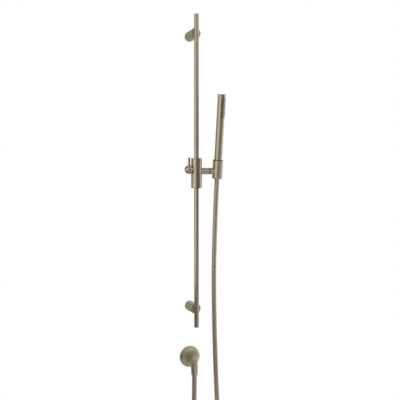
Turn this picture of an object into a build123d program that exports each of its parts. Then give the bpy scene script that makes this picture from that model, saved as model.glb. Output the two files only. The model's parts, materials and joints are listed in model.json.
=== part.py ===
from build123d import *
import math
import os

# A hand shower set on a wall rail: rail and two wall brackets, a clamping slider with a
# tilting holder, a slim stick hand shower, its hose, and the wall elbow that feeds it.
# Millimetres. +Z is up, +X is to the right, and the wall is the plane Y = 0 with the set
# standing out of it towards -Y. The origin is on the wall, midway between the two brackets.

# ---------------------------------------------------------------- driving dimensions
BRACKET_SPACING = 900.0  # between the two wall screws
RAIL_OVERHANG = 60.0  # rail beyond each bracket's centre
RAIL_R = 8.0
RAIL_WALL = 1.5
RAIL_OUT = 66.0  # rail axis to wall
POST_R = 17.0
POST_LENGTH = 59.5
POST_HOLLOW_R = 14.0
POST_FRONT_WALL = 8.0
DISC_R = 13.8
DISC_THICKNESS = 9.0
WALL_SCREW_R = 2.75

SLIDER_R = 17.8
SLIDER_LOW = -52.5
SLIDER_HIGH = 44.5
SLIDER_BORE_R = 10.6
CLAMP_Z = 8.0  # clamp axis, along X
CLAMP_KNOB_R = 14.7
CLAMP_KNOB_X = 26.0  # centre of the knob's dome, left of the rail axis
LEVER_R = 3.8
LEVER_REACH = 38.5

ARM_Z = 3.0  # tilt axis, along X
ARM_R = 10.5
ARM_SPLIT_X = 42.0  # where the fixed arm ends and the tilting holder begins
WASHER_GAP = 2.2
HOLDER_X = 74.2  # handset axis to rail axis
HOLDER_R = 17.2
HOLDER_BELOW = 25.0
HOLDER_ABOVE = 36.0
HOLDER_BORE_R = 15.1
SLOT_WIDTH = 16.6  # side slot that lets the hose slip out
LEAN = 8.0  # degrees the hand shower leans away from the wall at rest

HANDSET_R = 12.9
HANDSET_WALL = 1.2
HANDSET_FOOT = 15.0
HANDSET_TOP = 251.0
SPRAY_TURN = 27.0  # degrees the spray face is turned from straight ahead towards +X
NOZZLE_ROWS = 9
NOZZLE_PITCH = 7.0
NOZZLE_TOP = 234.0
NOZZLE_COLUMN_ANGLES = (-40.0, -13.3, 13.3, 40.0)
NOZZLE_R = 1.6
NOZZLE_PROUD = 0.9

HOSE_R = 8.0
THREAD_R = 10.4  # G1/2 male thread, 20.9 mm outside
NUT_BORE_R = 10.48

ELBOW_Z = -623.5
ELBOW_OUT = 46.0  # outlet axis to wall
FLANGE_R = 35.5
FLANGE_RIM = 3.0
FLANGE_CROWN = 11.0
STUB_R = 12.0
OUTLET_R = 11.0
INLET_LENGTH = 14.0

# ---------------------------------------------------------------- places
lean = math.radians(LEAN)
X_DIR = Vector(1, 0, 0)
Y_DIR = Vector(0, 1, 0)
Z_DIR = Vector(0, 0, 1)
HANDSET_DIR = Vector(0, -math.sin(lean), math.cos(lean))
RAIL_AT = Vector(0, -RAIL_OUT, 0)
PIVOT = Vector(HOLDER_X, -RAIL_OUT, ARM_Z)
CLAMP_AT = Vector(0, -RAIL_OUT, CLAMP_Z)
ARM_AT = Vector(0, -RAIL_OUT, ARM_Z)
ELBOW_AT = Vector(0, 0, ELBOW_Z)
OUTLET_AT = Vector(0, -ELBOW_OUT, ELBOW_Z)
BRACKETS = {"lower": -BRACKET_SPACING / 2, "upper": BRACKET_SPACING / 2}

os.makedirs("parts", exist_ok=True)


def save(piece, name):
    """Label a finished piece and write its STEP file."""
    piece.part.label = name
    export_step(piece.part, f"parts/{name}.step")


def turned(origin, axis, radial, outline):
    """A solid of revolution whose outline is (radius, distance along the axis) points."""
    side = Plane(origin=origin, x_dir=radial, z_dir=radial.cross(axis))
    with BuildPart() as piece:
        with BuildSketch(side):
            with BuildLine():
                Polyline(*outline, close=True)
            make_face()
        revolve(axis=Axis(origin, axis))
    return piece


def ring(inner, outer, low, high, bevel=0.0):
    """The outline of a ring or rod with both outer edges bevelled."""
    return [
        (inner, low),
        (outer - bevel, low),
        (outer, low + bevel),
        (outer, high - bevel),
        (outer - bevel, high),
        (inner, high),
    ] if bevel else [(inner, low), (outer, low), (outer, high), (inner, high)]


def bore(piece, origin, axis, radius, low, high):
    """Cut a round hole of a piece, from low to high along an axis."""
    with BuildSketch(Plane(origin=origin + axis * low, z_dir=axis)) as hole:
        Circle(radius)
    with piece:
        extrude(hole.sketch, amount=high - low, mode=Mode.SUBTRACT)


def along(origin, axis, distance):
    """A point of an axis."""
    return origin + axis * distance


# ---------------------------------------------------------------- rail
def build_rail():
    """The rail tube, its end caps and the threaded inserts that the brackets pull on."""
    end = BRACKET_SPACING / 2 + RAIL_OVERHANG
    cap = 3.0
    spigot = 8.0
    tube = turned(RAIL_AT, Z_DIR, X_DIR, ring(RAIL_R - RAIL_WALL, RAIL_R, cap - end, end - cap))
    for height in BRACKETS.values():
        bore(tube, Vector(0, -RAIL_OUT, height), Y_DIR, 3.2, 0, RAIL_R + 1)
    save(tube, "rail_tube")
    for name, up in (("lower", -1), ("upper", 1)):
        outline = [
            (0, end - cap - spigot),
            (RAIL_R - RAIL_WALL - 0.05, end - cap - spigot),
            (RAIL_R - RAIL_WALL - 0.05, end - cap),
            (RAIL_R, end - cap),
            (RAIL_R, end - 0.8),
            (RAIL_R - 0.8, end),
            (0, end),
        ]
        save(turned(RAIL_AT, Z_DIR * up, X_DIR, outline), f"rail_end_cap_{name}")
    for name, height in BRACKETS.items():
        half = 9.0
        insert = turned(
            RAIL_AT, Z_DIR, X_DIR, ring(0, RAIL_R - RAIL_WALL - 0.1, height - half, height + half)
        )
        bore(insert, Vector(0, -RAIL_OUT, height), Y_DIR, 3.0, -4.5, RAIL_R)
        save(insert, f"rail_insert_{name}")


# ---------------------------------------------------------------- wall brackets
def build_bracket(name, height):
    """One wall bracket: its post, and the wall disc that the post slides over."""
    at = Vector(0, 0, height)
    out = Y_DIR * -1
    post = turned(
        at,
        out,
        X_DIR,
        [
            (0, POST_LENGTH - POST_FRONT_WALL),
            (POST_HOLLOW_R, POST_LENGTH - POST_FRONT_WALL),
            (POST_HOLLOW_R, 0),
            (POST_R, 0),
            (POST_R, POST_LENGTH - 0.6),
            (POST_R - 0.6, POST_LENGTH),
            (0, POST_LENGTH),
        ],
    )
    bore(post, Vector(0, -RAIL_OUT, height - POST_R - 1), Z_DIR, RAIL_R, 0, 2 * POST_R + 2)
    bore(post, at, out, 3.2, POST_LENGTH - POST_FRONT_WALL - 1, POST_LENGTH)
    bore(post, Vector(0, -DISC_THICKNESS / 2, height), Z_DIR * -1, 2.1, POST_HOLLOW_R - 1, POST_R + 1)
    save(post, f"bracket_post_{name}")
    groove = 1.2
    half = 2.3
    middle = DISC_THICKNESS / 2
    disc = turned(
        at,
        out,
        X_DIR,
        [
            (WALL_SCREW_R, 0),
            (DISC_R, 0),
            (DISC_R, middle - half),
            (DISC_R - groove, middle - half),
            (DISC_R - groove, middle + half),
            (DISC_R, middle + half),
            (DISC_R, DISC_THICKNESS),
            (WALL_SCREW_R + 2.75, DISC_THICKNESS),
            (WALL_SCREW_R, DISC_THICKNESS - 2.75),
        ],
    )
    save(disc, f"wall_disc_{name}")


def build_bracket_screws():
    """The grub screws that lock the posts, and the cap screws that hold the rail."""
    out = Y_DIR * -1
    tip = DISC_R - 1.1
    with BuildPart() as grub_screws:
        for height in BRACKETS.values():
            bottom = Plane(origin=(0, -DISC_THICKNESS / 2, height - POST_R + 0.2), z_dir=Z_DIR)
            with BuildSketch(bottom):
                Circle(2.0)
            extrude(amount=POST_R - 0.2 - tip)
            with BuildSketch(bottom):
                RegularPolygon(1.0, 6)
            extrude(amount=1.6, mode=Mode.SUBTRACT)
    save(grub_screws, "bracket_grub_screws")
    head = POST_LENGTH - POST_FRONT_WALL
    with BuildPart() as rail_screws:
        for height in BRACKETS.values():
            seat = Plane(origin=(0, -head, height), z_dir=out)
            with BuildSketch(seat):
                Circle(2.95)
            extrude(amount=RAIL_OUT - head + 3.0)
            with BuildSketch(seat):
                Circle(5.0)
            extrude(amount=-6.0)
            with BuildSketch(seat.offset(-6.0)):
                RegularPolygon(2.5, 6)
            extrude(amount=3.0, mode=Mode.SUBTRACT)
    save(rail_screws, "rail_fixing_screws")


# ---------------------------------------------------------------- slider
def build_slider():
    """The slider's body, with its clamp and arm holes, and the two bushes that it runs on."""
    lip = 2.0
    lip_r = 9.4
    body = turned(
        RAIL_AT,
        Z_DIR,
        X_DIR,
        [
            (lip_r, SLIDER_LOW),
            (SLIDER_R - 0.6, SLIDER_LOW),
            (SLIDER_R, SLIDER_LOW + 0.6),
            (SLIDER_R, SLIDER_HIGH - 0.6),
            (SLIDER_R - 0.6, SLIDER_HIGH),
            (lip_r, SLIDER_HIGH),
            (lip_r, SLIDER_HIGH - lip),
            (SLIDER_BORE_R, SLIDER_HIGH - lip),
            (SLIDER_BORE_R, SLIDER_LOW + lip),
            (lip_r, SLIDER_LOW + lip),
        ],
    )
    bore(body, CLAMP_AT, X_DIR * -1, 4.3, 10, SLIDER_R + 1)
    bore(body, CLAMP_AT, X_DIR * -1, 6.08, 8, 14.5)
    bore(body, ARM_AT, X_DIR, 3.1, 10, SLIDER_R + 1)
    bore(body, ARM_AT, X_DIR, 5.7, 8, 14.1)
    save(body, "slider_body")
    collar = 1.2
    length = 20.0
    running = RAIL_R + 0.08
    for name, end, inward in (("lower", SLIDER_LOW, 1), ("upper", SLIDER_HIGH, -1)):
        start = Vector(0, -RAIL_OUT, end)
        bush = turned(
            start,
            Z_DIR * inward,
            X_DIR,
            [
                (running, -collar),
                (lip_r - 0.1, -collar),
                (lip_r - 0.1, lip + 0.1),
                (SLIDER_BORE_R - 0.08, lip + 0.1),
                (SLIDER_BORE_R - 0.08, length),
                (running, length),
            ],
        )
        save(bush, f"slider_bush_{name}")


def build_clamp():
    """The clamp: a boss on the slider, a brake pad, and a screw spindle with knob and lever."""
    left = X_DIR * -1
    boss = turned(CLAMP_AT, left, Z_DIR, ring(4.3, 10.5, 10, 20.8))
    bore(boss, Vector(0, -RAIL_OUT, CLAMP_Z - 20), Z_DIR, SLIDER_R, 0, 40)
    save(boss, "clamp_boss")
    pad = turned(CLAMP_AT, left, Z_DIR, ring(0, 6.0, 5, 14))
    bore(pad, Vector(0, -RAIL_OUT, CLAMP_Z - 20), Z_DIR, RAIL_R + 0.1, 0, 40)
    bore(pad, CLAMP_AT, left, 3.6, 12.9, 15)
    save(pad, "brake_pad")
    spindle = turned(
        CLAMP_AT,
        left,
        Z_DIR,
        [(0, 13.3), (3.4, 13.3), (3.4, 14.6), (4.2, 15), (4.2, 32), (0, 32)],
    )
    save(spindle, "clamp_spindle")
    rim = 21.4
    side = Plane(origin=CLAMP_AT, x_dir=Z_DIR, z_dir=Z_DIR.cross(left))
    dome = CLAMP_KNOB_X + CLAMP_KNOB_R
    half = CLAMP_KNOB_R * math.sin(math.radians(45))
    with BuildPart() as knob:
        with BuildSketch(side):
            with BuildLine():
                Polyline((4.25, 32.1), (4.25, rim), (CLAMP_KNOB_R - 0.6, rim), (CLAMP_KNOB_R, rim + 0.6))
                Line((CLAMP_KNOB_R, rim + 0.6), (CLAMP_KNOB_R, CLAMP_KNOB_X))
                ThreePointArc((CLAMP_KNOB_R, CLAMP_KNOB_X), (half, CLAMP_KNOB_X + half), (0, dome))
                Polyline((0, dome), (0, 32.1), (4.25, 32.1))
            make_face()
        revolve(axis=Axis(CLAMP_AT, left))
    lever_at = Vector(-CLAMP_KNOB_X, -RAIL_OUT, CLAMP_Z)
    bore(knob, lever_at, Z_DIR, LEVER_R, 6.5, CLAMP_KNOB_R + 1)
    save(knob, "clamp_knob")
    lever = turned(
        lever_at,
        Z_DIR,
        X_DIR,
        [(0, 6.5), (LEVER_R, 6.5), (LEVER_R, LEVER_REACH - 1), (LEVER_R - 1, LEVER_REACH), (0, LEVER_REACH)],
    )
    save(lever, "clamp_lever_pin")


def build_arm():
    """The fixed arm on the slider and the bolt, washers and nut that the holder tilts on."""
    arm = turned(ARM_AT, X_DIR, Z_DIR, ring(3.1, ARM_R, 10, ARM_SPLIT_X, 0.3))
    bore(arm, Vector(0, -RAIL_OUT, ARM_Z - 20), Z_DIR, SLIDER_R, 0, 40)
    save(arm, "slider_arm")
    far = ARM_SPLIT_X + WASHER_GAP
    friction = turned(ARM_AT, X_DIR, Z_DIR, ring(3.1, ARM_R - 1.3, ARM_SPLIT_X, far - 0.05))
    save(friction, "arm_friction_washer")
    bolt = turned(
        ARM_AT,
        X_DIR,
        Z_DIR,
        [(0, 11.2), (5.5, 11.2), (5.5, 14), (3.0, 14), (3.0, 56), (0, 56)],
    )
    save(bolt, "arm_pivot_bolt")
    save(turned(ARM_AT, X_DIR, Z_DIR, ring(3.1, 5.6, 50.05, 51.2)), "arm_spring_washer")
    with BuildPart() as nut:
        with BuildSketch(Plane(origin=ARM_AT + X_DIR * 51.3, z_dir=X_DIR)):
            RegularPolygon(5.5, 6)
            Circle(3.05, mode=Mode.SUBTRACT)
        extrude(amount=3.4)
    save(nut, "arm_pivot_nut")


# ---------------------------------------------------------------- holder
def cut_slot(piece, low, high):
    """Cut the side slot, which runs the holder's whole height and faces away from the arm."""
    reach = HOLDER_R + 2
    bottom = Plane(origin=along(PIVOT, HANDSET_DIR, low), x_dir=X_DIR, z_dir=HANDSET_DIR)
    with BuildSketch(bottom) as slot:
        with Locations((reach / 2, 0)):
            Rectangle(reach, SLOT_WIDTH)
    with piece:
        extrude(slot.sketch, amount=high - low, mode=Mode.SUBTRACT)


def build_holder():
    """The tilting holder that the hand shower stands in, and its plastic liner."""
    low = -HOLDER_BELOW
    high = HOLDER_ABOVE
    barrel = [
        (0, low),
        (HOLDER_R - 1.8, low),
        (HOLDER_R, low + 3.5),
        (HOLDER_R, high - 0.6),
        (HOLDER_R - 0.6, high),
        (0, high),
    ]
    holder = turned(PIVOT, HANDSET_DIR, X_DIR, barrel)
    stub_start = ARM_SPLIT_X + WASHER_GAP
    with BuildSketch(Plane(origin=ARM_AT + X_DIR * stub_start, z_dir=X_DIR)) as stub:
        Circle(ARM_R)
    with holder:
        extrude(stub.sketch, amount=HOLDER_X - stub_start)
    bore(holder, PIVOT, HANDSET_DIR, HOLDER_BORE_R, low - 1, high + 1)
    bore(holder, ARM_AT, X_DIR, 3.08, stub_start - 1, 52)
    bore(holder, ARM_AT, X_DIR, 6.4, 50, HOLDER_X - 5)
    cut_slot(holder, low - 1, high + 1)
    save(holder, "holder_body")
    outer = HOLDER_BORE_R - 0.1
    lip_r = HOLDER_R - 0.4
    lip_top = high + 1.4
    liner = turned(
        PIVOT,
        HANDSET_DIR,
        X_DIR,
        [
            (10.1, low + 0.8),
            (outer, low + 0.8),
            (outer, high + 0.02),
            (lip_r, high + 0.02),
            (lip_r, lip_top),
            (HANDSET_R + 0.9, lip_top),
            (HANDSET_R + 0.4, lip_top - 0.9),
            (HANDSET_R + 0.4, 15.2),
            (12.3, 14.2),
        ],
    )
    cut_slot(liner, low, lip_top + 1)
    save(liner, "holder_liner")


# ---------------------------------------------------------------- hand shower
def spray_plane(height, angle, distance):
    """A plane that faces out of the hand shower, at a height and a turn from its spray line."""
    turn = math.radians(SPRAY_TURN + angle)
    front = HANDSET_DIR.cross(X_DIR) * -1
    facing = X_DIR * math.sin(turn) + front * math.cos(turn)
    origin = along(PIVOT, HANDSET_DIR, height) + facing * distance
    return Plane(origin=origin, x_dir=HANDSET_DIR, z_dir=facing)


def nozzle_planes(distance):
    """One plane for each nozzle, in rows down the spray strip."""
    rows = [NOZZLE_TOP - NOZZLE_PITCH * i for i in range(NOZZLE_ROWS)]
    return [spray_plane(row, angle, distance) for row in rows for angle in NOZZLE_COLUMN_ANGLES]


def build_handset():
    """The stick: tube, cap, inlet, and the spray plate with its nozzles and water chamber."""
    inner = HANDSET_R - HANDSET_WALL
    top = HANDSET_TOP - 3.0
    window_middle = NOZZLE_TOP - NOZZLE_PITCH * (NOZZLE_ROWS - 1) / 2
    window_length = NOZZLE_PITCH * (NOZZLE_ROWS - 1) + 11.0
    window_width = 20.0
    window_corner = 4.0
    tube = turned(PIVOT, HANDSET_DIR, X_DIR, ring(inner, HANDSET_R, HANDSET_FOOT, top))
    with BuildSketch(spray_plane(window_middle, 0, 0)) as window:
        RectangleRounded(window_length, window_width, window_corner)
    with tube:
        extrude(window.sketch, amount=HANDSET_R + 2, mode=Mode.SUBTRACT)
    save(tube, "handset_tube")
    cap = turned(
        PIVOT,
        HANDSET_DIR,
        X_DIR,
        [
            (0, top - 6),
            (inner - 0.05, top - 6),
            (inner - 0.05, top),
            (HANDSET_R, top),
            (HANDSET_R, HANDSET_TOP - 0.8),
            (HANDSET_R - 0.8, HANDSET_TOP),
            (0, HANDSET_TOP),
        ],
    )
    save(cap, "handset_cap")

    plate = turned(PIVOT, HANDSET_DIR, X_DIR, ring(9.6, HANDSET_R - 0.15, 160, 244))
    with BuildSketch(spray_plane(window_middle, 0, 0)) as plate_outline:
        RectangleRounded(window_length - 0.3, window_width - 0.3, window_corner - 0.15)
    with BuildSketch(*nozzle_planes(5.0)) as holes:
        Circle(NOZZLE_R + 0.1)
    with plate:
        extrude(plate_outline.sketch, amount=HANDSET_R + 2, mode=Mode.INTERSECT)
        extrude(holes.sketch, amount=HANDSET_R, mode=Mode.SUBTRACT)
    save(plate, "spray_plate")

    mat = turned(PIVOT, HANDSET_DIR, X_DIR, ring(8.2, 9.5, 160, 244))
    with BuildSketch(spray_plane(window_middle, 0, 0)) as mat_outline:
        RectangleRounded(window_length - 2, window_width - 2, window_corner - 1)
    with BuildSketch(*nozzle_planes(8.8)) as nozzles:
        Circle(NOZZLE_R)
    with mat:
        extrude(mat_outline.sketch, amount=HANDSET_R + 2, mode=Mode.INTERSECT)
        extrude(nozzles.sketch, amount=HANDSET_R + NOZZLE_PROUD - 8.8)
    save(mat, "nozzle_mat")

    chamber_low = 165.0
    chamber = turned(PIVOT, HANDSET_DIR, X_DIR, ring(0, 8.0, chamber_low, top - 6.5, 0.5))
    bore(chamber, PIVOT, HANDSET_DIR, 4.0, chamber_low - 1, top - 10)
    with BuildSketch(spray_plane(window_middle, 0, 0)) as outlet:
        SlotOverall(window_length - 6, 5.0)
    with chamber:
        extrude(outlet.sketch, amount=HANDSET_R, mode=Mode.SUBTRACT)
    save(chamber, "spray_chamber")
    water_tube = turned(PIVOT, HANDSET_DIR, X_DIR, ring(3.0, 3.9, 27.2, chamber_low + 8))
    save(water_tube, "inner_water_tube")

    inlet = turned(
        PIVOT,
        HANDSET_DIR,
        X_DIR,
        [
            (6.0, 2.0),
            (THREAD_R - 0.8, 2.0),
            (THREAD_R, 2.8),
            (THREAD_R, HANDSET_FOOT),
            (inner - 0.05, HANDSET_FOOT),
            (inner - 0.05, 27.0),
            (3.0, 27.0),
            (3.0, 12.0),
            (6.0, 12.0),
        ],
    )
    save(inlet, "handset_inlet")
    regulator = turned(PIVOT, HANDSET_DIR, X_DIR, ring(1.6, 5.9, 6.0, 11.9))
    save(regulator, "flow_regulator")
    with BuildPart() as strainer:
        with BuildSketch(Plane(origin=along(PIVOT, HANDSET_DIR, 3.0), x_dir=X_DIR, z_dir=HANDSET_DIR)):
            Circle(5.9)
            with GridLocations(2.2, 2.2, 3, 3):
                Circle(0.8, mode=Mode.SUBTRACT)
        extrude(amount=1.5)
    save(strainer, "inlet_strainer")


# ---------------------------------------------------------------- hose and its fittings
def build_hose_end(name, origin, axis, nut_top, nut_bottom, top_r, bottom_r):
    """A hose end, laid out along an axis that points out of the hose into its socket.

    The nut's collar catches the hose tail's flange and pulls it on the sealing washer."""
    radial = X_DIR
    nut = turned(
        origin,
        axis,
        radial,
        [
            (HOSE_R + 0.4, nut_bottom),
            (bottom_r - 0.5, nut_bottom),
            (bottom_r, nut_bottom + 0.5),
            (top_r, nut_top - 0.5),
            (top_r - 0.5, nut_top),
            (NUT_BORE_R, nut_top),
            (NUT_BORE_R, -2.0),
            (HOSE_R + 0.4, -2.0),
        ],
    )
    save(nut, f"hose_nut_{name}")
    tail = turned(
        origin,
        axis,
        radial,
        [(4.5, HOSE_MEETS_TAIL), (7.4, HOSE_MEETS_TAIL), (7.4, -1.9), (10.2, -1.9), (10.2, 0), (4.5, 0)],
    )
    save(tail, f"hose_tail_{name}")
    save(turned(origin, axis, radial, ring(5.0, 10.2, 0.05, 1.95)), f"hose_washer_{name}")


HOSE_MEETS_TAIL = -12.0
LOWER_SOCKET_Z = ELBOW_Z - 35.0  # where the lower hose tail's flange faces its washer
LOWER_SOCKET = Vector(0, -ELBOW_OUT, LOWER_SOCKET_Z)

# The hose's route from the hand shower down, round its hanging loop and up to the elbow.
HOSE_START = along(PIVOT, HANDSET_DIR, HOSE_MEETS_TAIL)
HOSE_END = along(LOWER_SOCKET, Z_DIR, HOSE_MEETS_TAIL)
LOOP_LOW = -1049.2  # bottom corner of the route's hanging loop
HOSE_ROUTE = [
    tuple(HOSE_START),
    tuple(along(HOSE_START, HANDSET_DIR, -70)),
    (72.6, -47.8, -188.0),
    (69.5, -45.6, -330.0),
    (71.2, -46.4, -485.0),
    (75.4, -47.4, -640.0),
    (80.6, -48.2, -770.0),
    (88.5, -48.6, -880.0),
    (95.6, -48.7, LOOP_LOW + 97.0),
    (96.8, -48.6, LOOP_LOW + 51.4),
    (69.8, -48.4, LOOP_LOW + 14.2),
    (26.0, -48.0, LOOP_LOW),
    (-17.8, -47.6, LOOP_LOW + 14.2),
    (-44.8, -47.2, LOOP_LOW + 51.4),
    (-44.0, -46.8, LOOP_LOW + 97.0),
    (-32.0, -46.4, -900.0),
    (-14.0, -46.2, -840.0),
    (-1.5, -46.0, -775.0),
    (0.0, -46.0, -720.0),
    tuple(HOSE_END),
]
RUN_SHARE = 0.45  # of the shorter run, taken by the arc at each corner


def route_radii(points):
    """The largest arc that each corner of a route leaves room for."""
    radii = []
    for before, corner, after in zip(points, points[1:], points[2:]):
        run_in = Vector(*corner) - Vector(*before)
        run_out = Vector(*after) - Vector(*corner)
        half_turn = math.radians(run_in.get_angle(run_out)) / 2
        radii.append(RUN_SHARE * min(run_in.length, run_out.length) / math.tan(half_turn))
    return radii


def build_hose():
    """The flexible hose, as a plain tube along its hanging route."""
    radii = route_radii(HOSE_ROUTE)
    with BuildPart() as hose:
        with BuildLine() as path:
            FilletPolyline(*HOSE_ROUTE, radius=radii)
        start = Plane(origin=path.line @ 0, z_dir=path.line % 0)
        with BuildSketch(start):
            Circle(HOSE_R)
        sweep(path=path.line)
    save(hose, "shower_hose")
    length = path.wire().length
    print("hose radii", [round(r) for r in radii])
    print("hose length", round(length, 1), "volume ratio", hose.part.volume / (math.pi * HOSE_R**2 * length))


# ---------------------------------------------------------------- wall elbow
def build_elbow():
    """The wall elbow: flange, body, threaded inlet, seal, set screw and non-return valve."""
    out = Y_DIR * -1
    side = Plane(origin=ELBOW_AT, x_dir=X_DIR, z_dir=X_DIR.cross(out))
    crown_start = 15.0
    with BuildPart() as flange:
        with BuildSketch(side):
            with BuildLine():
                Polyline((STUB_R + 0.1, FLANGE_CROWN), (STUB_R + 0.1, 0), (FLANGE_R, 0))
                Line((FLANGE_R, 0), (FLANGE_R, FLANGE_RIM))
                ThreePointArc(
                    (FLANGE_R, FLANGE_RIM), (26.5, FLANGE_RIM + 5.0), (crown_start, FLANGE_CROWN)
                )
                Line((crown_start, FLANGE_CROWN), (STUB_R + 0.1, FLANGE_CROWN))
            make_face()
        revolve(axis=Axis(ELBOW_AT, out))
    save(flange, "elbow_flange")

    outlet_low = -33.0
    shoulder = -22.0
    body = turned(ELBOW_AT, out, X_DIR, ring(0, STUB_R, 1.0, ELBOW_OUT))
    with BuildSketch(Plane(origin=OUTLET_AT, z_dir=Z_DIR)) as neck:
        Circle(OUTLET_R)
    with BuildSketch(Plane(origin=OUTLET_AT, z_dir=Z_DIR)) as outlet:
        Circle(THREAD_R)
    with body:
        with Locations(OUTLET_AT):
            Sphere(STUB_R)
        extrude(neck.sketch, amount=shoulder)
        extrude(outlet.sketch, amount=outlet_low)
    bore(body, ELBOW_AT, out, 9.7, 0, 18)
    bore(body, ELBOW_AT, out, 6.0, 17, ELBOW_OUT)
    bore(body, OUTLET_AT, Z_DIR * -1, 6.0, 0, -outlet_low + 1)
    bore(body, Vector(0, -14, ELBOW_Z), Z_DIR * -1, 2.1, 9, STUB_R + 1)
    save(body, "elbow_body")

    seat_r = THREAD_R - 0.8
    nipple = turned(
        ELBOW_AT,
        out,
        X_DIR,
        [
            (7.0, -INLET_LENGTH),
            (THREAD_R - 1, -INLET_LENGTH),
            (THREAD_R, 1 - INLET_LENGTH),
            (THREAD_R, 0),
            (seat_r, 0),
            (seat_r, 3.5),
            (8.2, 3.5),
            (8.2, 6.2),
            (seat_r, 6.2),
            (seat_r, 11.8),
            (8.6, 11.8),
            (8.6, 16.2),
            (seat_r, 16.2),
            (seat_r, 17.5),
            (7.0, 17.5),
        ],
    )
    save(nipple, "wall_nipple")
    seal = turned(ELBOW_AT, out, X_DIR, ring(8.25, 9.65, 3.8, 5.9, 0.5))
    save(seal, "elbow_o_ring")
    with BuildPart() as set_screw:
        bottom = Plane(origin=(0, -14, ELBOW_Z - STUB_R + 0.3), z_dir=Z_DIR)
        with BuildSketch(bottom):
            Circle(2.0)
        extrude(amount=STUB_R - 0.3 - 8.7)
        with BuildSketch(bottom):
            RegularPolygon(1.0, 6)
        extrude(amount=1.4, mode=Mode.SUBTRACT)
    save(set_screw, "elbow_set_screw")

    down = Z_DIR * -1
    housing = turned(
        OUTLET_AT,
        down,
        X_DIR,
        [
            (3.0, 15.0),
            (5.9, 15.0),
            (5.9, 32.8),
            (4.6, 32.8),
            (4.6, 17.5),
            (3.0, 17.5),
        ],
    )
    save(housing, "check_valve_housing")
    poppet = turned(
        OUTLET_AT,
        down,
        X_DIR,
        [(0, 17.6), (3.9, 17.6), (3.9, 19.2), (1.2, 19.2), (1.2, 27.0), (0, 27.0)],
    )
    save(poppet, "check_valve_poppet")
    guide = turned(OUTLET_AT, down, X_DIR, ring(1.5, 4.5, 30.5, 32.7))
    with BuildSketch(Plane(origin=along(OUTLET_AT, down, 30.5), z_dir=down)) as ports:
        with PolarLocations(3.0, 4):
            Circle(0.9)
    with guide:
        extrude(ports.sketch, amount=2.2, mode=Mode.SUBTRACT)
    save(guide, "check_valve_guide")
    spring_start = 19.4
    spring_length = 11.0
    wire_r = 0.35
    coil_r = 2.6
    with BuildPart() as spring:
        with BuildLine() as coil:
            Helix(
                pitch=2.2,
                height=spring_length - 2 * wire_r,
                radius=coil_r,
                center=along(OUTLET_AT, down, spring_start + wire_r),
                direction=down,
            )
        with BuildSketch(Plane(origin=coil.line @ 0, z_dir=coil.line % 0)):
            Circle(wire_r)
        sweep(path=coil.line, is_frenet=True)
    save(spring, "check_valve_spring")


build_rail()
for bracket_name, bracket_height in BRACKETS.items():
    build_bracket(bracket_name, bracket_height)
build_bracket_screws()
build_slider()
build_clamp()
build_arm()
build_holder()
build_handset()
build_hose_end("upper", PIVOT, HANDSET_DIR, 14.6, -24.0, 11.8, 9.5)
build_hose_end("lower", LOWER_SOCKET, Z_DIR, 12.6, -16.0, 11.8, 10.5)
build_hose()
build_elbow()
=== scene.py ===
import json
import math

import bpy
import numpy as np
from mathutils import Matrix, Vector


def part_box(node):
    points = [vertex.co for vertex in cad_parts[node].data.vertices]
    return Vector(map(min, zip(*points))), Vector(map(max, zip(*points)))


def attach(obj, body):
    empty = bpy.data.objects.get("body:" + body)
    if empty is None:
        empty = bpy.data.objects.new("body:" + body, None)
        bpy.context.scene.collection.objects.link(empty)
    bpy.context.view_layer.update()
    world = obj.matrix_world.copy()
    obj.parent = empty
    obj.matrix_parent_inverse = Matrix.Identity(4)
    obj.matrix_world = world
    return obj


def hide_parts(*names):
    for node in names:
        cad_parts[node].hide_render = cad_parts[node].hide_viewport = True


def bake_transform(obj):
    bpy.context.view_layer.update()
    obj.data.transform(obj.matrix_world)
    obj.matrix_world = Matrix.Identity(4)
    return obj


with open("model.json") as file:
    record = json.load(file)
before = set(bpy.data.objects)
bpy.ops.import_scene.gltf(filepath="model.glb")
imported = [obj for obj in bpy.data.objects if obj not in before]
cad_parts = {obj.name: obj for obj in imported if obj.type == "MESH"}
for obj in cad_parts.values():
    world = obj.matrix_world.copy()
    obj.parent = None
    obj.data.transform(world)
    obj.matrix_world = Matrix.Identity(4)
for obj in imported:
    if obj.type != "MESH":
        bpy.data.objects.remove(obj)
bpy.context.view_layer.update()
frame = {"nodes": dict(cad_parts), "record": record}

# Places that are the same in the CAD, in metres.
WALL_OUT = 0.066  # rail axis to wall
LEAN = math.radians(8.0)  # how far the hand shower leans out from the wall
ARM_Z = 0.003  # height of the arm and of the holder's pivot
CLAMP_Z = 0.008
PIVOT = Vector((0.0742, -WALL_OUT, ARM_Z))
HANDSET_DIR = Vector((0.0, -math.sin(LEAN), math.cos(LEAN)))
ELBOW_Z = -0.6235
OUTLET_Y = -0.046  # wall to the elbow's outlet

# ------------------------------------------------------------------ camera
CAMERA_AT = Vector((-0.7406, -1.9781, -0.0175))
CAMERA_AIM = Vector((0.0281, -0.0253, -0.0931))
camera_data = bpy.data.cameras.new("camera")
camera_data.sensor_width = 36.0
camera_data.lens = 56.58
camera_data.clip_start = 0.05
camera_data.clip_end = 50.0
camera = bpy.data.objects.new("camera", camera_data)
bpy.context.scene.collection.objects.link(camera)
camera.location = CAMERA_AT
camera.rotation_euler = (CAMERA_AIM - CAMERA_AT).to_track_quat("-Z", "Y").to_euler()
bpy.context.scene.camera = camera

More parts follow.
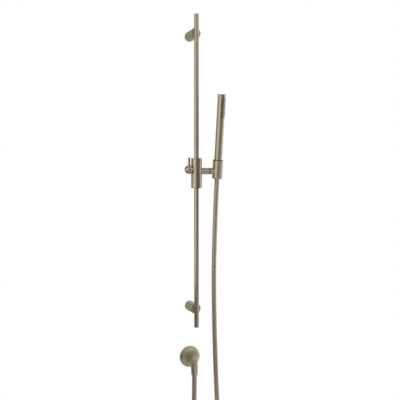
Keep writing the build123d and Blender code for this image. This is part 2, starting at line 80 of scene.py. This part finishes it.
# ------------------------------------------------------------------ hose
HOSE_R = 0.0080
RIB_PITCH = 0.0026
RIB_DEPTH = 0.00022
RIB_STEPS = 5  # rings of the mesh for each rib
RING_SIDES = 32
SPLINE_STEPS = 24
PATH_STRIDE = 5  # rings from one point of a cord's path to the next
HOSE_START = PIVOT + HANDSET_DIR * -0.012  # inside the upper nut
HOSE_END = Vector((0.0, OUTLET_Y, ELBOW_Z - 0.047))  # inside the lower nut
LOOP_LOW = -1.0492  # foot of the loop, on the hose's middle
HOSE_ROUTE = [
    HOSE_START,
    HOSE_START + HANDSET_DIR * -0.070,
    Vector((0.0726, -0.0478, -0.188)),
    Vector((0.0695, -0.0456, -0.330)),
    Vector((0.0712, -0.0464, -0.485)),
    Vector((0.0754, -0.0474, -0.640)),
    Vector((0.0806, -0.0482, -0.770)),
    Vector((0.0885, -0.0486, -0.880)),
    Vector((0.0956, -0.0487, LOOP_LOW + 0.0970)),
    Vector((0.0968, -0.0486, LOOP_LOW + 0.0514)),
    Vector((0.0698, -0.0484, LOOP_LOW + 0.0142)),
    Vector((0.0260, -0.0480, LOOP_LOW)),
    Vector((-0.0178, -0.0476, LOOP_LOW + 0.0142)),
    Vector((-0.0448, -0.0472, LOOP_LOW + 0.0514)),
    Vector((-0.0440, -0.0468, LOOP_LOW + 0.0970)),
    Vector((-0.0320, -0.0464, -0.900)),
    Vector((-0.0140, -0.0462, -0.840)),
    Vector((-0.0015, -0.0460, -0.775)),
    Vector((0.0, -0.0460, -0.720)),
    HOSE_END,
]


def spline_points(points):
    """The smooth line of a NURBS spline with these control points, end to end."""
    data = bpy.data.curves.new("route", "CURVE")
    data.dimensions = "3D"
    data.resolution_u = SPLINE_STEPS
    spline = data.splines.new("NURBS")
    spline.points.add(len(points) - 1)
    for at, point in zip(spline.points, points):
        at.co = (*point, 1.0)
    spline.order_u = 3
    spline.use_endpoint_u = True
    route = bpy.data.objects.new("route", data)
    line = bpy.data.meshes.new_from_object(route)
    found = [v.co.copy() for v in line.vertices]
    bpy.data.objects.remove(route)
    bpy.data.curves.remove(data)
    bpy.data.meshes.remove(line)
    return found


def length_of(points):
    return float(np.linalg.norm(np.diff(points, axis=0), axis=1).sum())


def even_points(points, apart):
    """Points along a line, about this far apart, both ends kept."""
    at = np.array([tuple(p) for p in points])
    lengths = np.concatenate([[0.0], np.cumsum(np.linalg.norm(np.diff(at, axis=0), axis=1))])
    count = max(2, round(lengths[-1] / apart) + 1)
    where = np.linspace(0.0, lengths[-1], count)
    return np.stack([np.interp(where, lengths, at[:, i]) for i in range(3)], axis=1)


def sides_along(points):
    """Two directions square to the line at each point, which don't twist along it."""
    tangents = np.gradient(points, axis=0)
    tangents /= np.linalg.norm(tangents, axis=1)[:, None]
    side = np.cross(tangents[0], [0.0, 1.0, 0.0])
    side /= np.linalg.norm(side)
    sides = []
    for tangent in tangents:
        side = side - tangent * side.dot(tangent)
        side /= np.linalg.norm(side)
        sides.append(side)
    sides = np.array(sides)
    return sides, np.cross(tangents, sides)


def tube_mesh(name, points, radii):
    """A closed tube with one radius per point. Its attribute groove is 1 in a groove, 0 on a crest."""
    sides, ups = sides_along(points)
    angles = np.linspace(0.0, 2 * math.pi, RING_SIDES, endpoint=False)
    circle = (np.cos(angles)[None, :, None] * sides[:, None, :]
              + np.sin(angles)[None, :, None] * ups[:, None, :])
    rings = points[:, None, :] + circle * radii[:, None, None]
    starts = [i * RING_SIDES for i in range(len(points))]
    faces = []
    for here, there in zip(starts, starts[1:]):
        for k in range(RING_SIDES):
            n = (k + 1) % RING_SIDES
            faces.append((here + k, here + n, there + n, there + k))
    faces.append(tuple(reversed(range(RING_SIDES))))
    faces.append(tuple(starts[-1] + k for k in range(RING_SIDES)))
    mesh = bpy.data.meshes.new(name)
    mesh.from_pydata([tuple(v) for v in rings.reshape(-1, 3)], [], faces)
    mesh.polygons.foreach_set("use_smooth", [True] * (len(faces) - 2) + [False] * 2)
    groove = np.repeat((HOSE_R - radii) / RIB_DEPTH, RING_SIDES)
    mesh.attributes.new("groove", "FLOAT", "POINT").data.foreach_set("value", groove.astype(np.float32))
    mesh.update()
    made = bpy.data.objects.new(name, mesh)
    bpy.context.scene.collection.objects.link(made)
    return made


def ribbed_radii(along):
    """Radii of a finely wound hose: shallow round ribs, counted from the hose's own start."""
    return HOSE_R - RIB_DEPTH * (0.5 - 0.5 * np.cos(2 * math.pi * along / RIB_PITCH)) ** 2


hose_line = even_points(spline_points(HOSE_ROUTE), RIB_PITCH / RIB_STEPS)
hose_length = length_of(hose_line)
spacing = hose_length / (len(hose_line) - 1)


def index_at(distance):
    return int(round(distance / spacing))


def on_hose(distance):
    return tuple(hose_line[index_at(distance)])


# The hose is one line in five lengths. The first four cross one joint each, and neighbours share a body where they
# meet. The fourth's bend is listed along a slanted line, meant to keep it from doubling back over itself when the
# slider is low. The last hangs from the wall elbow down to the foot of the loop and stays still.
loop_foot = float(np.argmin(hose_line[:, 2])) * spacing
LOWER_BEND = ((0.0647, -0.0470, -0.5400), (-0.1661, -0.0470, -0.6938))
# Each length's name, where it begins and ends along the hose, its bodies, and the start and end of its bend.
SHARES = [
    ("hose_top", 0.0, 0.100, ("hose_end", "holder"), (on_hose(0.025), on_hose(0.090))),
    ("hose_upper", 0.100, 0.310, ("holder", "slider"), (on_hose(0.120), on_hose(0.290))),
    ("hose_middle", 0.310, 0.530, ("slider", "carriage"), (on_hose(0.330), on_hose(0.510))),
    ("hose_lower", 0.530, loop_foot, ("carriage", "wall_set"), LOWER_BEND),
    ("hose_return", loop_foot, hose_length, ("wall_set",), None),
]
hose_pieces = []
for name, begins, ends, bodies, bend in SHARES:
    first = index_at(begins)
    last = min(index_at(ends), len(hose_line) - 1)
    points = hose_line[first:last + 1]
    piece = tube_mesh(name, points, ribbed_radii(first * spacing + np.arange(len(points)) * spacing))
    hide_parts("shower_hose")
    path = points[::PATH_STRIDE]
    if not np.allclose(path[-1], points[-1]):
        path = np.vstack([path, points[-1]])
    if bend:
        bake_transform(piece)
    else:
        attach(piece, *bodies)
    hose_pieces.append(piece)

# ------------------------------------------------------------------ materials
X_AXIS, Y_AXIS, Z_AXIS = (1.0, 0.0, 0.0), (0.0, 1.0, 0.0), (0.0, 0.0, 1.0)
MIX_FIRST, MIX_SECOND, MIX_RESULT = 6, 7, 2  # the colour sockets of a Mix node


class Nodes:
    """Short calls that add nodes to a tree and join them."""

    def __init__(self, tree):
        self.tree = tree

    def plug(self, target, value):
        if isinstance(value, bpy.types.NodeSocket):
            self.tree.links.new(value, target)
        else:
            target.default_value = value

    def new(self, kind, *inputs, **settings):
        made = self.tree.nodes.new(kind)
        for key, setting in settings.items():
            setattr(made, key, setting)
        for target, value in zip(made.inputs, inputs):
            self.plug(target, value)
        return made

    def maths(self, operation, *inputs):
        return self.new("ShaderNodeMath", *inputs, operation=operation).outputs["Value"]

    def vector(self, operation, *inputs):
        made = self.new("ShaderNodeVectorMath", *inputs, operation=operation)
        return made.outputs["Value" if operation in ("DOT_PRODUCT", "LENGTH") else "Vector"]


class Finish(Nodes):
    """One material, with short calls for what its colour, roughness and bump come from."""

    def __init__(self, name):
        self.material = bpy.data.materials.new(name)
        self.material.use_nodes = True
        super().__init__(self.material.node_tree)
        self.shader = self.tree.nodes["Principled BSDF"]

    def set(self, **sockets):
        for socket, value in sockets.items():
            self.shader.inputs[socket.replace("_", " ")].default_value = value

    def feed(self, socket, source):
        self.tree.links.new(source, self.shader.inputs[socket])

    def place(self):
        return self.new("ShaderNodeTexCoord").outputs["Object"]

    def noise(self, where, scale, detail, rough):
        made = self.new("ShaderNodeTexNoise")
        self.plug(made.inputs["Vector"], where)
        made.inputs["Scale"].default_value = scale
        made.inputs["Detail"].default_value = detail
        made.inputs["Roughness"].default_value = rough
        return made.outputs["Fac"]

    def spread(self, noise, low, high):
        """A noise's usual values, 0.3 to 0.7, spread from low to high."""
        return self.new("ShaderNodeMapRange", noise, 0.3, 0.7, low, high).outputs["Result"]

    def between(self, share, first, second):
        made = self.new("ShaderNodeMix", data_type="RGBA")
        self.plug(made.inputs["Factor"], share)
        made.inputs[MIX_FIRST].default_value = (*first, 1.0)
        made.inputs[MIX_SECOND].default_value = (*second, 1.0)
        return made.outputs[MIX_RESULT]

    def bump(self, height, depth, strength):
        made = self.new("ShaderNodeBump")
        made.inputs["Strength"].default_value = strength
        made.inputs["Distance"].default_value = depth
        self.plug(made.inputs["Height"], height)
        self.feed("Normal", made.outputs["Normal"])


BRUSH_SCALE = 5200.0  # noise cells per metre, across the fine brush lines
BRUSH_DRAWN = 0.0006  # how little a brush line changes along its own length
BRUSH_SEAM = (0.61, 0.53, 0.59)  # any direction that isn't an axis: turning is measured against it
QUARTER_TURN = 0.25  # gloss stretches across the brush lines, not along them


def turned_metal(name, tones, rough, stretch, line):
    """Metal brushed round an axis: fine lines follow the turning, and gloss stretches across them."""
    axis, centre = line
    finish = Finish(name)
    from_centre = finish.vector("SUBTRACT", finish.place(), centre)
    along = finish.vector("DOT_PRODUCT", from_centre, axis)
    round_way = finish.vector("CROSS_PRODUCT", axis, from_centre)
    out = finish.vector("LENGTH", round_way)
    way = finish.vector("NORMALIZE", round_way)
    turn = finish.maths("MULTIPLY", finish.vector("DOT_PRODUCT", way, BRUSH_SEAM), BRUSH_DRAWN)
    line_place = finish.new("ShaderNodeCombineXYZ", along, out, turn).outputs["Vector"]
    fine = finish.noise(line_place, BRUSH_SCALE, 4.0, 0.65)
    broad = finish.noise(line_place, BRUSH_SCALE / 9, 2.0, 0.5)
    cloud = finish.noise(finish.place(), 26.0, 3.0, 0.55)
    brush = finish.maths("MULTIPLY_ADD", broad, 0.4, finish.maths("MULTIPLY", fine, 0.6))
    shade = finish.maths("MULTIPLY_ADD", brush, 0.6, finish.maths("MULTIPLY", cloud, 0.4))
    finish.feed("Base Color", finish.between(finish.spread(shade, 0.0, 1.0), *tones))
    finish.feed("Roughness", finish.spread(brush, rough - 0.03, rough + 0.04))
    finish.bump(brush, 0.000003, 0.1)
    world_way = finish.new("ShaderNodeVectorTransform", way, vector_type="VECTOR",
                           convert_from="OBJECT", convert_to="WORLD")
    finish.feed("Tangent", world_way.outputs["Vector"])
    finish.set(Metallic=1.0, Anisotropic=stretch, Anisotropic_Rotation=QUARTER_TURN)
    return finish.material


def wound_metal(name, tones, rough):
    """The hose's wound strip: duller in its grooves than on its crests, and darker there by painted shade."""
    finish = Finish(name)
    groove = finish.new("ShaderNodeAttribute", attribute_name="groove").outputs["Fac"]
    cloud = finish.noise(finish.place(), 60.0, 4.0, 0.6)
    grain = finish.noise(finish.place(), 2600.0, 3.0, 0.6)
    # Painted shade: the base colour darkens with the groove's depth (three quarters of the mix), with random cloud
    # tone for the last quarter.
    shade = finish.maths("MULTIPLY_ADD", groove, 0.75, finish.maths("MULTIPLY", cloud, 0.25))
    finish.feed("Base Color", finish.between(shade, *tones))
    dull = finish.spread(grain, rough - 0.04, rough + 0.05)
    finish.feed("Roughness", finish.maths("MULTIPLY_ADD", groove, 0.16, dull))
    finish.bump(grain, 0.00001, 0.3)
    finish.set(Metallic=1.0)
    return finish.material


def moulded(name, tones, rough, grain_scale, depth):
    """Plastic or rubber from a lightly sparked mould, and the studio's floor and board."""
    finish = Finish(name)
    grain = finish.noise(finish.place(), grain_scale, 4.0, 0.6)
    cloud = finish.noise(finish.place(), 90.0, 3.0, 0.5)
    finish.feed("Base Color", finish.between(finish.spread(cloud, 0.0, 1.0), *tones))
    finish.feed("Roughness", finish.spread(grain, rough - 0.07, rough + 0.07))
    finish.bump(grain, depth, 0.4)
    return finish.material


# Each finish has a darker and a lighter tone. The pieces on the wall are a little paler than the rest.
NICKEL = ((0.460, 0.405, 0.290), (0.550, 0.492, 0.365))
WALL_NICKEL = ((0.540, 0.470, 0.325), (0.640, 0.565, 0.405))
STEEL = ((0.54, 0.53, 0.51), (0.66, 0.65, 0.63))
BRASS = ((0.58, 0.43, 0.20), (0.70, 0.54, 0.29))
METALS = {"satin_nickel": NICKEL, "stainless_fixings": STEEL, "plain_brass": BRASS}
# The hose's crest tone, then a much darker groove tone that paints shade into the grooves.
CREST_AND_SHADED_GROOVE = ((0.66, 0.585, 0.425), (0.25, 0.215, 0.150))
NYLON = ((0.010, 0.0095, 0.009), (0.020, 0.019, 0.017))
ACETAL = ((0.76, 0.76, 0.73), (0.84, 0.84, 0.82))
RUBBER = ((0.004, 0.0038, 0.0036), (0.009, 0.0085, 0.008))
hose_metal = wound_metal("hose_metal", CREST_AND_SHADED_GROOVE, 0.26)
MOULDED = {
    "dark_nylon": moulded("dark_nylon", NYLON, 0.52, 1900.0, 0.00003),
    "white_acetal": moulded("white_acetal", ACETAL, 0.42, 1500.0, 0.00002),
    "seal_rubber": moulded("seal_rubber", RUBBER, 0.66, 2300.0, 0.00003),
}
# Roughness, and how far the gloss stretches: the long bars, the turned arm, the knob, and the pieces on the wall.
BAR_GLOSS, ARM_GLOSS, KNOB_GLOSS, WALL_GLOSS = (0.26, 0.25), (0.24, 0.0), (0.27, 0.0), (0.44, 0.10)
# The line that each metal piece was turned and brushed round: a direction and a point on it.
RAIL_LINE = (Z_AXIS, (0.0, -WALL_OUT, 0.0))
CLAMP_LINE = (X_AXIS, (0.0, -WALL_OUT, CLAMP_Z))
ARM_LINE = (X_AXIS, (0.0, -WALL_OUT, ARM_Z))
HANDSET_LINE = (tuple(HANDSET_DIR), tuple(PIVOT))
ELBOW_LINE = (Y_AXIS, (0.0, 0.0, ELBOW_Z))
OUTLET_LINE = (Z_AXIS, (0.0, OUTLET_Y, ELBOW_Z))
BRUSHED_ROUND = {
    "clamp": CLAMP_LINE,
    "slider_arm": ARM_LINE, "arm": ARM_LINE,
    "holder": HANDSET_LINE, "handset": HANDSET_LINE, "spray": HANDSET_LINE, "inlet": HANDSET_LINE,
    "flow": HANDSET_LINE, "hose_nut_upper": HANDSET_LINE, "hose_tail_upper": HANDSET_LINE,
    "elbow": ELBOW_LINE, "wall_nipple": ELBOW_LINE,
    "check": OUTLET_LINE, "hose_nut_lower": OUTLET_LINE, "hose_tail_lower": OUTLET_LINE,
}


def turning_line(name):
    """The line for a piece, from the longest name above that it begins with, or through its own middle."""
    if name == "clamp_lever_pin" or name.startswith(("bracket", "wall_disc")):
        low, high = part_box(name)
        middle = tuple((np.array(low) + np.array(high)) / 2)
        return (Z_AXIS if name == "clamp_lever_pin" else Y_AXIS), middle
    matches = [key for key in BRUSHED_ROUND if name.startswith(key)]
    return BRUSHED_ROUND[max(matches, key=len)] if matches else RAIL_LINE


def gloss(name):
    if name.startswith("clamp"):
        return KNOB_GLOSS
    if name.startswith(("slider_arm", "arm_")):
        return ARM_GLOSS
    if name.startswith(("elbow", "wall", "bracket")):
        return WALL_GLOSS
    return BAR_GLOSS


def tones_for(slot, shine):
    return WALL_NICKEL if slot == "satin_nickel" and shine == WALL_GLOSS else METALS[slot]


slot_of = {entry["node"]: entry["material_slot"] for entry in frame["record"]["subparts"]}
turned = {}
for name, node in frame["nodes"].items():
    slot = slot_of[name]
    if slot in METALS:
        shine, line = gloss(name), turning_line(name)
        key = (slot, shine, line)
        if key not in turned:
            turned[key] = turned_metal(f"{slot}_{len(turned)}", tones_for(slot, shine), *shine, line)
        material = turned[key]
    else:
        material = MOULDED.get(slot, hose_metal)
    if node.data.materials:
        for i in range(len(node.data.materials)):
            node.data.materials[i] = material
    else:
        node.data.materials.append(material)
for piece in hose_pieces:
    piece.data.materials.append(hose_metal)

# ------------------------------------------------------------------ studio
FLOOR_Z = -1.15
FLOOR = [(-1.2, -1.1, FLOOR_Z), (1.2, -1.1, FLOOR_Z), (1.2, 0.6, FLOOR_Z), (-1.2, 0.6, FLOOR_Z)]
BOARD_LOW, BOARD_HIGH = -0.92, -0.46
BOARD = [(-0.60, 0.0, BOARD_LOW), (-0.34, -0.50, BOARD_LOW), (-0.34, -0.50, BOARD_HIGH), (-0.60, 0.0, BOARD_HIGH)]
PALE = ((0.92, 0.92, 0.91), (0.96, 0.96, 0.95))
BLACK = ((0.004, 0.004, 0.004), (0.006, 0.006, 0.006))


def staged_panel(name, corners, material):
    mesh = bpy.data.meshes.new(name)
    mesh.from_pydata(corners, [], [(0, 1, 2, 3)])
    mesh.materials.append(material)
    panel = bpy.data.objects.new(name, mesh)
    bpy.context.scene.collection.objects.link(panel)
    return panel


staged_panel("floor", FLOOR, moulded("pale_floor", PALE, 0.8, 400.0, 0.0001))
# A black board stands low down on the left, unseen by the camera. It darkens the left side of the hose and the
# elbow.
board = staged_panel("board", BOARD, moulded("black_board", BLACK, 0.9, 200.0, 0.0001))
board.visible_camera = False

# All the light is the world's. Round the object stand a bright soft wall on the right, reaching behind it, and a
# weaker one on the left, both strongest at the object's height. In front are two soft bands, one above and one
# below the object's height, and a small light is overhead. The camera sees plain white behind the object.
world = bpy.data.worlds.new("studio")
bpy.context.scene.world = world
world.use_nodes = True
world.node_tree.nodes.clear()
light = Nodes(world.node_tree)


def light_curve(value, low, high, stops):
    """Brightness as a smooth curve over value, from (value, brightness) stops."""
    share = light.maths("MULTIPLY_ADD", value, 1 / (high - low), -low / (high - low))
    made = light.new("ShaderNodeValToRGB", share)
    made.color_ramp.interpolation = "B_SPLINE"
    elements = made.color_ramp.elements
    while len(elements) < len(stops):
        elements.new(0.5)
    for element, (at, brightness) in zip(elements, stops):
        element.position = (at - low) / (high - low)
        element.color = (brightness, brightness, brightness, 1.0)
    return made.outputs["Color"]


def by_turn(stops):
    return light_curve(turn, -180, 180, stops)


def by_height(stops):
    return light_curve(height, -1, 1, stops)


# Turn is in degrees round the object, 0 straight out from the wall and 90 to its right. Height is a sine.
SIDES_BY_TURN = [
    (-180, 0.75), (-150, 0.32), (-124, 0.22), (-98, 0.85), (-74, 1.60), (-50, 1.25), (-30, 0.26), (-8, 0.08),
    (26, 0.04), (52, 0.12), (76, 1.40), (112, 4.20), (152, 3.80), (180, 0.75),
]
SIDES_BY_HEIGHT = [
    (-1.0, 0.10), (-0.7, 0.20), (-0.35, 1.0), (0.0, 1.15), (0.35, 1.0), (0.7, 0.30), (1.0, 0.20),
]
FRONT_BY_TURN = [
    (-180, 0.0), (-45, 0.0), (-14, 0.3), (10, 1.15), (36, 1.15), (60, 0.4), (88, 0.0), (180, 0.0),
]
FRONT_BY_HEIGHT = [
    (-1.0, 0.02), (-0.78, 0.0), (-0.56, 0.5), (-0.40, 1.4), (-0.24, 0.0), (0.0, 0.0), (0.2, 0.0),
    (0.36, 1.7), (0.52, 1.7), (0.66, 0.5), (0.8, 0.0), (1.0, 0.0),
]
ABOVE_BY_HEIGHT = [(-1.0, 0.0), (0.0, 0.0), (0.84, 0.0), (0.93, 0.4), (1.0, 1.8)]
WHITE = (1.0, 1.0, 1.0, 1.0)
direction = light.new("ShaderNodeSeparateXYZ", light.new("ShaderNodeTexCoord").outputs["Generated"])
from_wall = light.maths("MULTIPLY", direction.outputs["Y"], -1.0)
turn = light.maths("MULTIPLY", light.maths("ARCTAN2", direction.outputs["X"], from_wall), 180 / math.pi)
height = direction.outputs["Z"]
sides = light.maths("MULTIPLY", by_turn(SIDES_BY_TURN), by_height(SIDES_BY_HEIGHT))
front = light.maths("MULTIPLY", by_turn(FRONT_BY_TURN), by_height(FRONT_BY_HEIGHT))
above = by_height(ABOVE_BY_HEIGHT)
total = light.maths("ADD", light.maths("ADD", sides, front), above)
studio = light.new("ShaderNodeBackground", total, 1.0).outputs["Background"]
backdrop = light.new("ShaderNodeBackground", WHITE, 1.0).outputs["Background"]
seen_straight = light.new("ShaderNodeLightPath").outputs["Is Camera Ray"]
shown = light.new("ShaderNodeMixShader", seen_straight, studio, backdrop).outputs["Shader"]
light.new("ShaderNodeOutputWorld", shown)
bpy.context.scene.view_settings.view_transform = "Standard"
